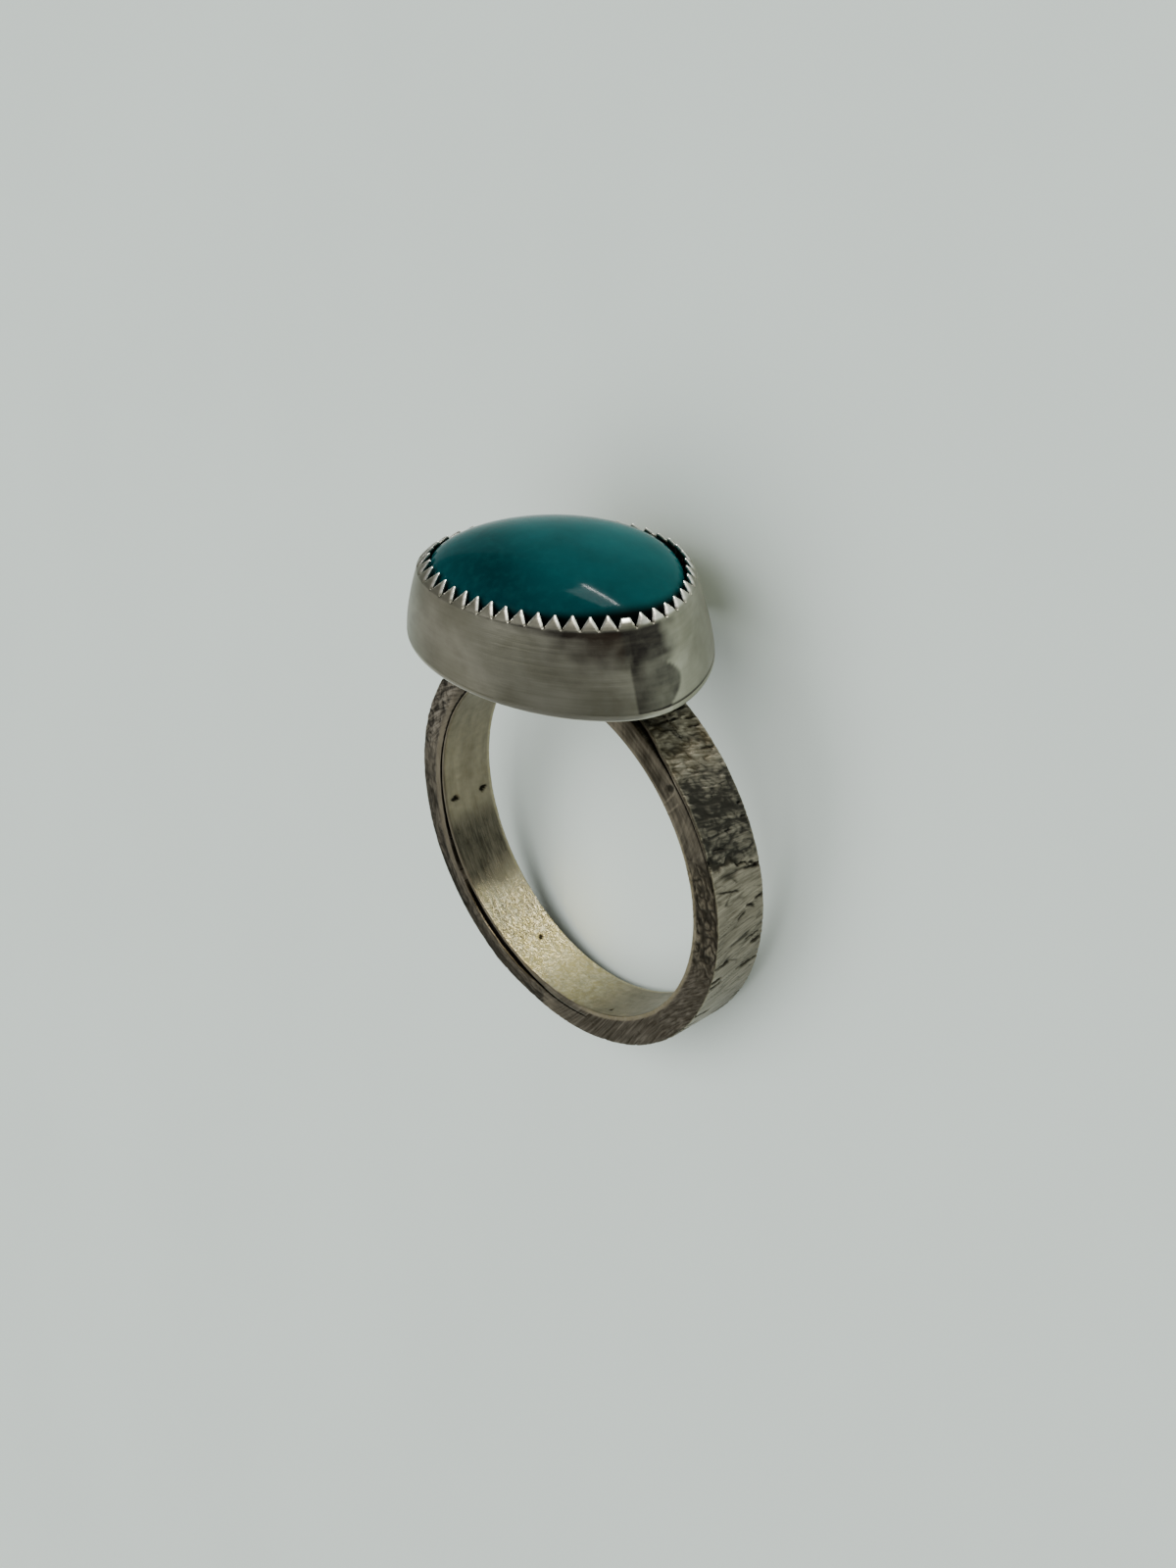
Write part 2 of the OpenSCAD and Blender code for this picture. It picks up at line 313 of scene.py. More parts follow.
def hammered_silver():
    """Sterling silver strip, hammered and filed by hand and darkened with age: pale where it is
    rubbed, grey in its strokes, nearly black in its slits, painted black as shade in its seams, and
    painted with a warm golden highlight inside the hole."""
    material, tree, surface = new_material("hammered_sterling_silver")
    place = add(tree, "UVMap", {}, uv_map="strokes")
    body = add(tree, "TexCoord", {}, "Object")
    tarnish_and_shade, brown, polish, bright = wear_of(tree)
    # file strokes about 0.1 mm apart and 1 mm long, with hairlines between them
    drawn = add(tree, "Mapping", {0: place, 3: (0.9, 9.0, 1)})
    drawn = {"Vector": drawn, "Scale": 1, "Detail": 4, "Distortion": 0.3}
    strokes = add(tree, "TexNoise", drawn)
    fine = add(tree, "Mapping", {0: place, 3: (0.55, 3.2, 1)})
    hairs = add(tree, "TexNoise", {"Vector": fine, "Scale": 1, "Detail": 5, "Distortion": 0.5})
    hairs = add(tree, "Math", {0: hairs, 1: 0.5, 2: 0.012}, operation="COMPARE")
    # grain of about 0.2 mm, clouds of about 1 mm, and the two together as crumpled folds
    grain = {"Vector": body, "Scale": 5200, "Detail": 4, "Distortion": 0.8}
    grain = add(tree, "TexNoise", grain)
    cloud = add(tree, "TexNoise", {"Vector": body, "Scale": 900, "Detail": 5})
    fold = add(tree, "Math", {0: cloud, 1: 0.35, 2: grain}, operation="MULTIPLY_ADD")
    fold = add(tree, "MapRange", {0: fold, 1: 0.55, 2: 0.80})
    # the strokes show least where the metal is polished
    shows = add(tree, "MapRange", {0: polish, 3: 1.0, 4: 0.12})
    streaky = add(tree, "MapRange", {0: strokes, 1: 0.3, 2: 0.7})
    pale = add(tree, "Mix", {0: streaky, 6: "#776F63", 7: "#BEB6A9"}, **RGBA)
    cloudy = add(tree, "MapRange", {0: cloud, 1: 0.3, 2: 0.7})
    worn = add(tree, "Mix", {0: cloudy, 6: "#877E6A", 7: "#AEA58F"}, **RGBA)
    skin = add(tree, "Mix", {0: polish, 6: pale, 7: worn}, **RGBA)
    # a painted highlight: warm gold, low inside the hole, mixed in by the bright channel
    golden = add(tree, "Mix", {0: fold, 6: "#D6C78E", 7: "#FCF2CC"}, **RGBA)
    # thin dark squiggles in it, about 0.2 mm apart, where it is least polished
    squiggle = add(tree, "Math", {0: grain, 1: 0.5, 2: 0.035}, operation="COMPARE")
    dull = add(tree, "MapRange", {0: polish, 1: 0.4, 2: 0.7, 3: 0.8, 4: 0.1})
    squiggle = add(tree, "Math", {0: squiggle, 1: dull}, operation="MULTIPLY")
    golden = add(tree, "Mix", {0: squiggle, 6: golden, 7: "#4F4529"}, **RGBA)
    skin = add(tree, "Mix", {0: bright, 6: skin, 7: golden}, **RGBA)
    stain = add(tree, "Mix", {0: brown, 6: "#252625", 7: "#3F3826"}, **RGBA)
    # the tarnish lies between the strokes and in the hairlines, and thins on high places
    cover = add(tree, "MapRange", {0: strokes, 1: 0.25, 2: 0.75, 3: 0.31, 4: -0.27})
    cover = add(tree, "Math", {0: hairs, 1: 0.2, 2: cover}, operation="MULTIPLY_ADD")
    mist = add(tree, "MapRange", {0: cloud, 1: 0.25, 2: 0.75, 3: -0.15, 4: 0.15})
    cover = add(tree, "Math", {0: cover, 1: shows, 2: mist}, operation="MULTIPLY_ADD")
    cover = add(tree, "Math", {0: cover, 1: tarnish_and_shade}, operation="ADD")
    cover = add(tree, "MapRange", {0: cover, 2: 0.85, 4: 0.92})
    skin = add(tree, "Mix", {0: cover, 6: skin, 7: stain}, **RGBA)
    # in the deepest places it is nearly black: patina in the slits and pits, and painted shade in
    # the seams
    black = add(tree, "MapRange", {0: tarnish_and_shade, 1: 0.8})
    skin = add(tree, "Mix", {0: black, 6: skin, 7: "#080706"}, **RGBA)
    rough = add(tree, "MapRange", {0: grain, 3: 0.28, 4: 0.44})
    rough = add(tree, "Math", {0: tarnish_and_shade, 1: 0.22, 2: rough}, operation="MULTIPLY_ADD")
    rough = add(tree, "Math", {0: bright, 1: 0.12, 2: rough}, operation="MULTIPLY_ADD")
    relief = add(tree, "Math", {0: hairs, 1: -0.3, 2: strokes}, operation="MULTIPLY_ADD")
    relief = add(tree, "Math", {0: relief, 1: shows}, operation="MULTIPLY")
    relief = add(tree, "Math", {0: grain, 1: 0.2, 2: relief}, operation="MULTIPLY_ADD")
    folded = add(tree, "Math", {0: fold, 1: bright}, operation="MULTIPLY")
    relief = add(tree, "Math", {0: folded, 1: 0.9, 2: relief}, operation="MULTIPLY_ADD")
    bump = add(tree, "Bump", {"Strength": 0.7, "Distance": 0.05 * MM, "Height": relief})
    feed(tree, surface, {"Base Color": skin, "Roughness": rough, "Normal": bump, "Metallic": 1})
    return material


def polished_turquoise():
    """Turquoise without matrix, cut as a cabochon and polished: a deep blue-green with faint clouds
    in it, under a quiet gloss, painted lighter to the right and the back and darker along the left
    as shade. Its edge is dark by the teeth, with dirt and painted shade."""
    material, tree, surface = new_material("polished_turquoise")
    body = add(tree, "TexCoord", {}, "Object")
    grime_and_shade, green, _, _ = wear_of(tree)
    # clouds about 3 mm wide, and fine mottling of about 0.3 mm
    cloud = add(tree, "TexNoise", {"Vector": body, "Scale": 300, "Detail": 3})
    mottle = add(tree, "TexNoise", {"Vector": body, "Scale": 2600, "Detail": 4})
    share = add(tree, "MapRange", {0: cloud, 1: 0.3, 2: 0.7})
    deep = add(tree, "Mix", {0: share, 6: "#00181D", 7: "#002429"}, **RGBA)
    light = add(tree, "Mix", {0: share, 6: "#007173", 7: "#00888B"}, **RGBA)
    # painted light and shade: the second wear channel makes the stone lighter to the right and the
    # back and darker on the left
    skin = add(tree, "Mix", {0: green, 6: deep, 7: light}, **RGBA)
    speck = add(tree, "MapRange", {0: mottle, 1: 0.45, 2: 0.75, 4: 0.05})
    skin = add(tree, "Mix", {0: speck, 6: skin, 7: "#2E8F8A"}, **RGBA)
    skin = add(tree, "Mix", {0: grime_and_shade, 6: skin, 7: "#000605"}, **RGBA)
    rough = add(tree, "MapRange", {0: cloud, 3: 0.08, 4: 0.13})
    rough = add(tree, "Math", {0: grime_and_shade, 1: 0.25, 2: rough}, operation="MULTIPLY_ADD")
    feed(tree, surface, {"Base Color": skin, "Roughness": rough, "Specular IOR Level": 0.026})
    return material


def pale_floor():
    """Matt pale grey card."""
    material, tree, surface = new_material("pale_card")
    place = add(tree, "TexCoord", {}, "Object")
    fibre = add(tree, "TexNoise", {"Vector": place, "Scale": 60, "Detail": 5})
    tone = add(tree, "Mix", {0: fibre, 6: "#D3DED7", 7: "#DBE6DF"}, **RGBA)
    feed(tree, surface, {"Base Color": tone, "Roughness": 0.9, "Specular IOR Level": 0.2})
    return material


# The setting's outline, drawn by the direction that its edge faces


def swell(rows, a):
    """How far an outline swells beyond its mean breadth where it faces a."""
    return sum(size * cosine(n * (a - d)) for n, size, d in rows)


def swell_slope(rows, a):
    """How fast the swell grows with a."""
    return sum(-n * size * sine(n * (a - d)) for n, size, d in rows)


def rim_length(a):
    """The rim's length from direction 0 to a."""
    return RIM_MEAN * math.radians(a) + sum(
        (1 - n * n) * size / n * sine(n * (a - d)) for n, size, d in RIM_SWELLS)


def rim_facing(share):
    """The direction faced at a share of the rim's length, from the wide tooth's middle."""
    goal = rim_length(WIDE_TOOTH) + RIM_AROUND * share
    a = WIDE_TOOTH + 360 * share
    for _ in range(8):
        bend = RIM_MEAN + sum((1 - n * n) * size * cosine(n * (a - d)) for n, size, d in RIM_SWELLS)
        a += math.degrees((goal - rim_length(a)) / bend)
    return a


def wall_point(a, share, inset, z):
    """A point of the wall that faces a, at a share of its height, moved in and to height z."""
    out = (FOOT_MEAN - WALL_LEAN * max(share, 0) ** LEAN_POWER - inset
           + swell(FOOT_SWELLS, a) * (1 - share) + swell(RIM_SWELLS, a) * share)
    side = swell_slope(FOOT_SWELLS, a) * (1 - share) + swell_slope(RIM_SWELLS, a) * share
    middle = FOOT_MIDDLE.lerp(RIM_MIDDLE, share)
    c, s = cosine(a), sine(a)
    return Vector((middle.x + out * c - side * s, middle.y + out * s + side * c, z))


def made_object(bm, name, material):
    """Turns a mesh that is ready into an object of one material."""
    mesh = bpy.data.meshes.new(name)
    bm.to_mesh(mesh)
    bm.free()
    mesh.materials.append(material)
    made = bpy.data.objects.new(name, mesh)
    bpy.context.scene.collection.objects.link(made)
    return made


def finished(bm, name, node, material):
    """Lays a piece down, makes its object, hangs it on the root body, and hides the CAD part that
    it stands for.
    """
    bmesh.ops.recalc_face_normals(bm, faces=bm.faces)
    bmesh.ops.transform(bm, matrix=LAY_DOWN @ Matrix.Scale(MM, 4), verts=bm.verts)
    for face in bm.faces:
        face.smooth = True
    piece = made_object(bm, name, material)
    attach(piece, "root")
    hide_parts(node)


def ring_edges(bm, ring):
    """The edges between the points of a closed ring."""
    return [bm.edges.get((ring[i - 1], ring[i])) for i in range(len(ring))]


def first_ring(bm, points):
    """A circle of edges, moved to the points given."""
    ring = bmesh.ops.create_circle(bm, segments=len(points), radius=10)["verts"]
    for v, point in zip(ring, points):
        v.co = point
    return ring


def raised(bm, ring, points):
    """Extrudes a closed ring of edges, and moves the new ring to the points given."""
    made = bmesh.ops.extrude_edge_only(bm, edges=ring_edges(bm, ring))["geom"]
    above = {v.co.to_tuple(): v for v in made if isinstance(v, bmesh.types.BMVert)}
    fresh = [above[v.co.to_tuple()] for v in ring]
    for v, point in zip(fresh, points):
        v.co = point
    return fresh


def lofted(bm, rings):
    """A skin through rings of points, from the first to the last."""
    ring = first_ring(bm, rings[0])
    rows = [ring]
    for points in rings[1:]:
        ring = raised(bm, ring, points)
        rows.append(ring)
    return rows


def joined_ends(bm, low, high):
    """Joins two rings with faces, as where a wall's inner side meets its outer side."""
    bmesh.ops.bridge_loops(bm, edges=ring_edges(bm, low) + ring_edges(bm, high))


def closed_end(bm, ring):
    """Closes the open end of a skin with one flat face."""
    bmesh.ops.holes_fill(bm, edges=ring_edges(bm, ring), sides=0)


def blank_mesh(pattern):
    """An empty mesh that can keep each point's place on its pattern, and its wear."""
    bm = bmesh.new()
    bm.loops.layers.uv.new(pattern)
    bm.verts.layers.float_color.new("wear")
    return bm


def give_pattern_place(bm, name, places):
    """Writes where each point lies on the sheet's pattern, in mm. The pattern starts again once
    round the rim, and a face that spans its start is put on one side of it."""
    layer = bm.loops.layers.uv[name]
    for face in bm.faces:
        first = places[face.loops[0].vert][0]
        for loop in face.loops:
            u, v = places[loop.vert]
            loop[layer].uv = (u - RIM_AROUND * round((u - first) / RIM_AROUND), v)


def give_wear(bm, wear):
    """Writes each point's darkness from tarnishing and painted shade, brown stain, polish, and
    brightness with painted highlights.
    """
    layer = bm.verts.layers.float_color["wear"]
    for v, state in wear.items():
        v[layer] = [min(1, max(0, x)) for x in state]


def rippled(x, y, seed):
    """Smooth noise between -1 and 1."""
    return noise.noise(Vector((x, y, seed)))


def layered(x, y, layers):
    """Sums smooth noises. A layer has its strength, how fine it is in x and in y, and a seed."""
    return sum(size * rippled(x * fine, y * other, seed) for size, fine, other, seed in layers)


# Setting

# Points along a tooth, rows of faces up a tooth, and rows of faces on the wall below
POINTS_A_TOOTH = 20
TOOTH_ROWS = 9
WALL_ROWS = 26


def tooth_lift(share, wide):
    """How high a tooth stands at a share of its pitch: 0 in the notches, 1 on its tip."""
    left, right, top = (0.24, 0.78, 0.8) if wide else (0.45, 0.55, 1)
    climb = share / left if share < left else (1 - share) / (1 - right) if share > right else 1
    return top * min(1, climb) ** 0.85


def wall_wear(a, high, run):
    """The wall's wear and painted shade at a facing and a share of its height. Under the front
    teeth lies a brown smudge; beside it the wall is painted darker as shade, with a painted dark
    reflection that has a round edge."""
    a = a if a > 180 else a + 360
    ragged = rippled(run * 1.3, high * 7, 3)
    smudge = (eased(291, 319, a + 6 * ragged) * (1 - eased(336, 344, a))
              * eased(0.44, 0.8, high + 0.1 * ragged + 0.08 * rippled(run * 0.6, high * 14, 9)))
    streaks = rippled(run * 0.7, high * 20, 8)
    # painted shade: the wall's right part, past its corner, is darker
    grey = (eased(326, 334, a) * (1 - eased(352, 380, a + 8 * ragged))
            * eased(0.50, 0.68, high + 0.08 * streaks))
    # the painted dark reflection's round edge runs from the foot out to the right and back to the
    # top
    edge = 369 - (210 if high > 0.36 else 150) * (high - 0.36) ** 2
    round_patch = band(328.5, 331, edge - 2, edge + 2, a) * (1 - eased(0.64, 0.80, high))
    # the wall is greyer at both ends of the front, and low down all round
    beside = 0.08 * eased(282, 305, a) + 0.28 * (1 - eased(262, 284, a)) + 0.16 * eased(360, 380, a)
    foot = 0.25 * (1 - eased(0.02, 0.12, high)) * (0.7 + 0.6 * rippled(run * 0.8, high * 3, 5))
    # painted shade: a dark line under the front teeth
    under = 0.5 * eased(0.90, 0.97, high) * band(282, 302, 340, 362, a)
    tarnish_and_shade = max(0.85 * smudge, 0.95 * grey, 0.72 * round_patch, beside, foot) + under
    return 0.02 + tarnish_and_shade, max(0.8 * smudge - grey, 0.25), 0.1, 0


def tooth_wear(a, t, lift):
    """A tooth's wear at a share of its height: a painted highlight on the bevel, grey in the
    middle, dark in the notches, and painted shade at the root."""
    rim = max(0, 1 - 0.5 * lift * (1 - t) / 0.15)
    notch = max(0, 1 - lift / 0.3)
    # the painted shade under the front teeth goes on over their roots
    ahead = eased(276, 296, a) if a > 180 else 1 - eased(-8, 12, a)
    root = (1 - eased(0, 0.3, t * lift)) * (0.3 + 0.7 * ahead)
    # the ones on the right are rubbed and painted with a highlight all over
    right = eased(335, 350, a) if a > 180 else 1 - eased(15, 40, a)
    tarnish_and_shade = max(0.95 * notch, 0.75 * root, 0.42 * (1 - rim) * (1 - 0.8 * right))
    bright = max(rim, 0.7 * right) * (1 - notch) * eased(0.1, 0.35, t * lift)
    return tarnish_and_shade, 0.15, 0.8 * rim, bright


def longer(a):
    """How much longer the teeth on the left are, and how much further they were pushed over."""
    return LONGER * cosine(a - LONG_TEETH)


def bezel_wall():
    """A strip of sheet bent round the stone. Its rim is cut into saw teeth that bend over it."""
    chance = random.Random(7)
    count = TEETH * POINTS_A_TOOTH
    facings, lifts, rounds, leans = [], [], [], []
    for tooth in range(TEETH):
        taller, further = chance.uniform(0.93, 1.02), chance.uniform(0.88, 1.04)
        for k in range(POINTS_A_TOOTH):
            share = k / POINTS_A_TOOTH
            facings.append(rim_facing((tooth + share - 0.5) / TEETH))
            lift = tooth_lift(share, tooth == 0) * taller * (1 + longer(facings[-1]))
            lifts.append(max(0.02, lift))
            rounds.append(1 - (2 * share - 1) ** 2)
            leans.append(further)

    def dent(a, z):
        """The wall isn't quite even: it was bent and rubbed by hand."""
        return 0.012 * rippled(2 * cosine(a), 2 * sine(a), z * 0.5)

    def ring(z, inset, share=None):
        share = (z - FOOT_Z) / WALL_H if share is None else share
        return [wall_point(a, share, inset + SET_IN + dent(a, z), z) for a in facings]

    def tooth_row(t, inset, drop, proud):
        row = []
        for a, lift, roundness, lean in zip(facings, lifts, rounds, leans):
            up = lift * t
            # the notches were filed at a slant, which leaves a bevel round each tooth
            bevel = 0.62 * max(0, 0.13 - 0.5 * lift * (1 - t)) * eased(0, 0.3, t) if proud else 0
            bulge = proud * (roundness ** 0.5) * math.sin(math.pi * min(1, 0.25 + 0.6 * t))
            over = (TOOTH_REACH + longer(a)) * lean * up ** 1.15
            z = RIM_Z + TOOTH_RISE * up - drop
            row.append(wall_point(a, 1, inset + bevel + over - bulge, z))
        return row

    bottom = FOOT_Z + PLATE_T
    open_joint = [joint_shows(a) for a in facings]

    def foot_ring(rise, inset):
        share = (bottom + rise - FOOT_Z) / WALL_H
        return [wall_point(a, share, inset * joint + SET_IN + dent(a, bottom), bottom + rise)
                for a, joint in zip(facings, open_joint)]

    outside = [foot_ring(0, 0.05), foot_ring(0.015, 0.02), foot_ring(0.05, 0)]
    high = RIM_Z - 0.06 - bottom
    outside += [ring(bottom + high * k / WALL_ROWS, 0) for k in range(1, WALL_ROWS + 1)]
    outside += [tooth_row(t / TOOTH_ROWS, 0.02, 0, 0.02) for t in range(TOOTH_ROWS + 1)]
    inside = [tooth_row(1, 0.125, 0.01, 0), tooth_row(1, TIP_T + 0.03, TIP_T, 0),
              tooth_row(0.5, 0.22, 0.2, 0), ring(RIM_Z - 0.3, WALL_T, 0.92),
              ring(FOOT_Z + WALL_H / 2, WALL_T), ring(FOOT_Z + BED_H, WALL_T), ring(bottom, WALL_T)]
    bm = blank_mesh("sheet")
    rows = lofted(bm, outside + inside)
    joined_ends(bm, rows[0], rows[-1])
    places, wear = {}, {}
    first_tooth = len(outside) - TOOTH_ROWS - 1
    for r, row in enumerate(rows):
        for k, v in enumerate(row):
            rise = v.co.z - FOOT_Z
            a = facings[k] % 360
            # counted both ways from the wide tooth, and back again behind, so that the pattern
            # meets itself
            run = (k if k < count / 2 else k - count) / count
            run = RIM_AROUND * math.copysign(0.25 - abs(abs(run) - 0.25), run)
            up = rise if r < len(outside) else 2 * WALL_H - rise
            places[v] = (run + PATTERN_START[0], up + PATTERN_START[1])
            # painted shade: the wall's inside and the cut edges of the teeth are painted dark
            if r > len(outside):
                wear[v] = (0.9, 0.3, 0, 0)
            elif r >= first_tooth:
                wear[v] = tooth_wear(a, (r - first_tooth) / TOOTH_ROWS, lifts[k])
            else:
                tarnish_and_shade, *rest = wall_wear(a, rise / WALL_H, run)
                wear[v] = (tarnish_and_shade + 0.6 * open_joint[k] * (r < 3), *rest)
    give_pattern_place(bm, "sheet", places)
    give_wear(bm, wear)
    return bm


def joint_shows(a):
    """How open the joint between wall and back plate is: 0 where it is filed away."""
    a %= 360
    return 0.06 + 0.94 * (eased(336, 352, a) if a > 250 else 1 - eased(225, 245, a))


def back_plate():
    """The sheet under the stone. Its edge is filed flush with the wall, and its joint shows as
    a fine line round the foot."""
    facings = [360 * k / RING_POINTS for k in range(RING_POINTS)]

    def ring(z, inset):
        row = []
        for a in facings:
            # the joint with the wall is closed on the left, and opens a little on the right
            part = 1 if z < FOOT_Z + 0.2 else joint_shows(a)
            uneven = 0.004 * rippled(a * 0.11, z, 8)
            row.append(wall_point(a, (z - FOOT_Z) / WALL_H, inset * part + SET_IN + uneven, z))
        return row

    top = FOOT_Z + PLATE_T
    heights = [(FOOT_Z, 0.6), (FOOT_Z, 0.16), (FOOT_Z + 0.02, 0.09), (FOOT_Z + 0.06, 0.035),
               (FOOT_Z + 0.12, 0.005), (top - 0.04, 0), (top - 0.012, 0.02), (top, 0.05),
               (top, 0.5)]
    bm = blank_mesh("sheet")
    rows = lofted(bm, [ring(z, inset) for z, inset in heights])
    closed_end(bm, rows[0])
    closed_end(bm, rows[-1])
    places, wear = {}, {}
    for r, row in enumerate(rows):
        for k, v in enumerate(row):
            if r in (0, len(rows) - 1):
                places[v] = (v.co.x, v.co.y)
            else:
                places[v] = (RIM_AROUND * k / RING_POINTS, v.co.z - FOOT_Z)
            # a painted highlight on the plate's edge where the joint is filed away
            edge = 1 - joint_shows(facings[k]) if 2 <= r < 5 else 0
            joint = 0.8 * joint_shows(facings[k]) if r > 5 else 0
            wear[v] = (0.45 if r < 2 else max(0.08, joint), 0.3, 0.5 * edge, 0.35 * edge)
    give_pattern_place(bm, "sheet", places)
    give_wear(bm, wear)
    return bm


def cabochon():
    """The stone: sides that follow the leaning wall, and a low dome cut slightly uneven."""
    facings = [rim_facing(k / RING_POINTS) for k in range(RING_POINTS)]
    clear = WALL_T + STONE_GAP
    bed = FOOT_Z + BED_H + STONE_GAP
    low = (bed - FOOT_Z) / WALL_H
    top = 1 - SHOULDER[0] / WALL_H
    top_z = FOOT_Z + WALL_H * top

    def ring(share, inset, z):
        return [wall_point(a, share, inset, z) for a in facings]

    rings = [ring(low, clear + 0.15, bed), ring(low, clear, bed + 0.1)]
    rings += [ring(u, clear, FOOT_Z + WALL_H * u) for u in (0.3, 0.5, 0.7, top - 0.01)]
    shoulder = ring(top, clear + SHOULDER[1], top_z + SHOULDER[2])
    rings += [ring(top, clear + 0.05, top_z + 0.02), shoulder]
    middle = sum(shoulder, Vector()) / RING_POINTS
    for k in range(1, DOME_RINGS + 1):
        turn = 90 * k / DOME_RINGS
        up, flat = sine(turn), max(cosine(turn), 0.002)
        reach = flat ** (1 + 0.25 * flat)
        shift, rise = DOME_SHIFT * up * up, Vector((0, 0, DOME_H * up))
        rings.append([middle + (p - middle) * reach + shift + rise for p in shoulder])
    # the polish is a little uneven above the dome's first ring
    for points in rings[9:]:
        for p in points:
            p.z += 0.006 * (rippled(p.x * 0.28, p.y * 0.28, 4) - 1)
    bm = blank_mesh("stone")
    rows = lofted(bm, rings)
    wear = {}
    for r, row in enumerate(rows):
        for k, v in enumerate(row):
            # painted light and shade: lighter to the right and the back, and deepest along the left
            x, y = v.co.x + 0.8, v.co.y + 0.5
            right, back = 0.669 * x + 0.743 * y, 0.359 * y - 0.398 * x
            left = right + 3.3
            deep = math.exp(-(left / 3.2) ** 2 - ((back + 0.9 + 0.33 * left) / 1.3) ** 2)
            green = 0.46 + 0.035 * right + 0.10 * back - 0.16 * deep
            green += 0.04 * rippled(x * 0.3, y * 0.3, 6)
            # dirt and painted shade along the edge, over more rings above the front teeth
            wide = 15 + 10 * max(0, cosine(facings[k] - 335)) ** 2
            wear[v] = (1 - eased(wide - 7, wide, r), green, 0, 0)
    give_wear(bm, wear)
    peak = sum((v.co for v in rows[-1]), Vector()) / RING_POINTS
    bmesh.ops.pointmerge(bm, verts=rows[-1], merge_co=peak)
    closed_end(bm, rows[0])
    return bm


# Shank

# Roundings of the strip's inner and outer edges
INNER_EDGE = 0.07
OUTER_EDGE = 0.10
# Columns of faces round the shank: most where its slits are, few under the setting. It is spun
# in steps that are then cut into this many columns.
COLUMNS = ((0, -25), (284, 62), (310, 138), (720, 335))
STEP_COLUMNS = 10
# Outer radius by direction: the strip is a little thicker at its left and thinner below
OUTSIDE = ((-25, 10.70), (18, 10.73), (62, 10.72), (150, 10.70), (185, 10.74), (205, 10.82),
           (240, 10.82), (256, 10.64), (285, 10.62), (300, 10.66), (335, 10.70))
# The two seams between the strip's lapped layers, in the side faces: direction, height above
# the finger hole, width and depth. Where the depth is 0 the layers are closed.
LEFT_SEAM = ((-25, 0.36, 0.12, 0), (100, 0.3, 0.1, 0), (126, 0.1, 0.05, 0),
             (134, 0.1, 0.07, 0.22), (160, 0.12, 0.08, 0.22), (175, 0.16, 0.10, 0.26),
             (190, 0.19, 0.17, 0.34), (206, 0.2, 0.4, 0.42), (226, 0.18, 0.52, 0.45),
             (246, 0.2, 0.48, 0.45), (256, 0.34, 0.22, 0.36), (266, 0.46, 0.10, 0.22),
             (279, 0.48, 0.06, 0), (335, 0.36, 0.12, 0))
RIGHT_SEAM = ((-25, 1.42, 0.06, 0), (12, 1.5, 0.05, 0), (16, 1.5, 0.05, 0.12),
              (30, 1.44, 0.08, 0.28), (45, 1.40, 0.08, 0.32), (56, 1.38, 0.09, 0.36),
              (62, 1.37, 0.10, 0.38), (72, 1.36, 0.12, 0.38), (84, 1.25, 0.1, 0),
              (335, 1.42, 0.06, 0))
# Depth of a seam by the place on its wall, both as shares of the whole
SEAM_WALL = ((0, 0), (0.02, 0.2), (0.05, 1))
# Rows of faces on the far and the near side face, inside and outside, the side rows kept for
# the two seams, and where these lie across a seam
SIDE_ROWS = (20, 36)
INNER_ROWS = 30
OUTER_ROWS = 40
SEAM_ROWS = (((2, 3, 4, 5, 6, 7), (12, 13, 14, 15, 16, 17)),
             ((4, 5, 6, 8, 9, 10), (26, 27, 28, 30, 31, 32)))
SEAM_PARTS = (0, 0.02, 0.05, 0.95, 0.98, 1)
# How far the outer layer's near edge stands back from the inner layer's
SET_BACK = ((28, 0), (42, 0.03), (50, 0.12), (57, 0.3), (64, 0.36), (90, 0))
# How the hammered ridges of the outer face lean round the shank, by direction
SLANT = ((-25, 0.35), (-8, 0.33), (14, 0.03), (36, -0.3), (60, -0.36), (140, 0), (200, 0.25),
         (335, 0.35))
# How dark the outer layer's patina is, by direction
PATINA = ((16, 0.36), (21, 0.58), (31, 0.78), (38, 0.66), (44, 0.46), (50, 0.52), (56, 0.44),
          (62, 0.38))
# Slits across the strip: direction, where they start and end along the finger, half width,
# depth, and how far they lean round the shank from end to end
SLITS = ((-14, 1.6, 0.1, 0.06, 0.16, -1.2), (-7, 1.6, 0.7, 0.07, 0.16, -0.8),
         (-5, 1.3, 0.2, 0.03, 0.07, -0.6), (6, 1.6, 0.9, 0.05, 0.12, -0.6),
         (3.7, 0.9, 0.35, 0.05, 0.12, 1.4), (3.2, 0.3, -0.25, 0.04, 0.09, -1.6),
         (13.5, 1.6, 0.3, 0.045, 0.12, 1.6), (-17, -0.8, -1.6, 0.06, 0.13, -0.8),
         (-15, -0.9, -1.6, 0.06, 0.13, -0.8), (-10, -0.5, -1.6, 0.06, 0.13, -1),
         (10, 0, -1.5, 0.03, 0.08, 2.2), (30.5, 1.6, 1.15, 0.07, 0.14, 0.3),
         (46, 1.6, 0.5, 0.05, 0.12, 1.2), (52.5, 1.6, 0.6, 0.05, 0.12, 1),
         (55, 1.6, 0.8, 0.05, 0.12, 0.8), (25.5, 0.3, -0.1, 0.06, 0.1, 0.6),
         (22, -0.3, -1.2, 0.05, 0.1, 1.2), (58.5, 1.5, -0.6, 0.05, 0.12, 1.5),
         (56.5, 0.6, -1, 0.04, 0.1, 1.4), (27, 1.6, 1, 0.05, 0.1, 0.6))
# How many more there are at random on the part that faces away
FAR_SLITS = 95
